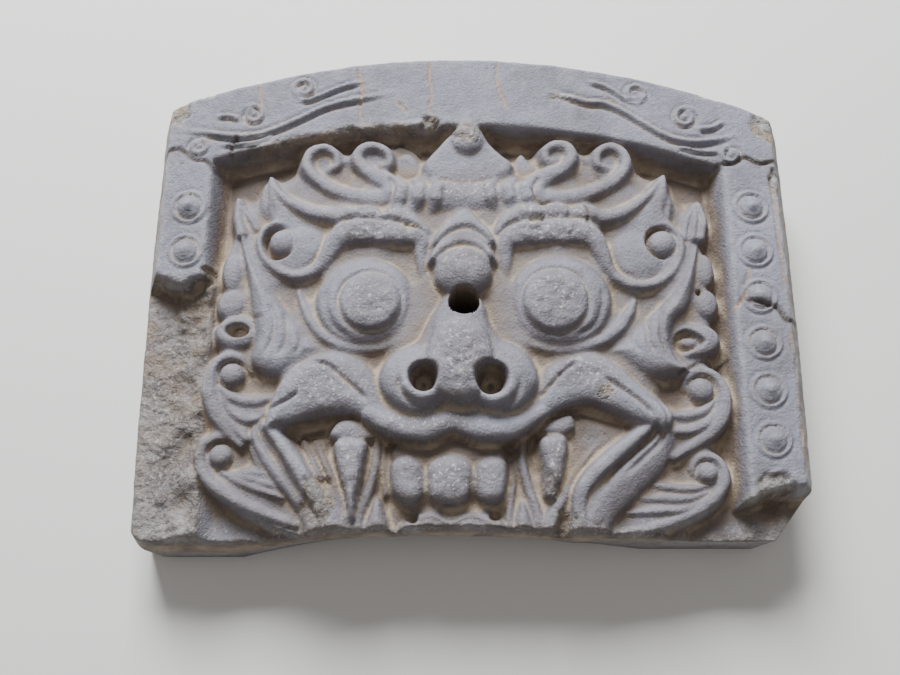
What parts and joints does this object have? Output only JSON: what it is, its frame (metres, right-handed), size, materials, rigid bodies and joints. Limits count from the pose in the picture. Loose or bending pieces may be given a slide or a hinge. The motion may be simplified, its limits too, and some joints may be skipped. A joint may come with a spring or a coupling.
{
  "type": "demon face roof tile",
  "caption": "Fired-clay ridge-end roof tile with an arched top, a studded frame and a demon face in high relief, pierced for a nail; left strip and lower corners broken.",
  "frame": {"origin": "middle of the flat back, in the middle of the tile's outline", "axes": "+X to the viewer's right, +Y to the arched top, +Z out of the face; the tile lies on its back"},
  "size_m": [0.3, 0.2347, 0.0712],
  "materials": {
    "fired_clay": "matt grey fired clay, worn, with cream and tan deposit in the recesses"
  },
  "bodies": {
    "root": {"demon_face_tile": "fired_clay"}
  },
  "joints": []
}
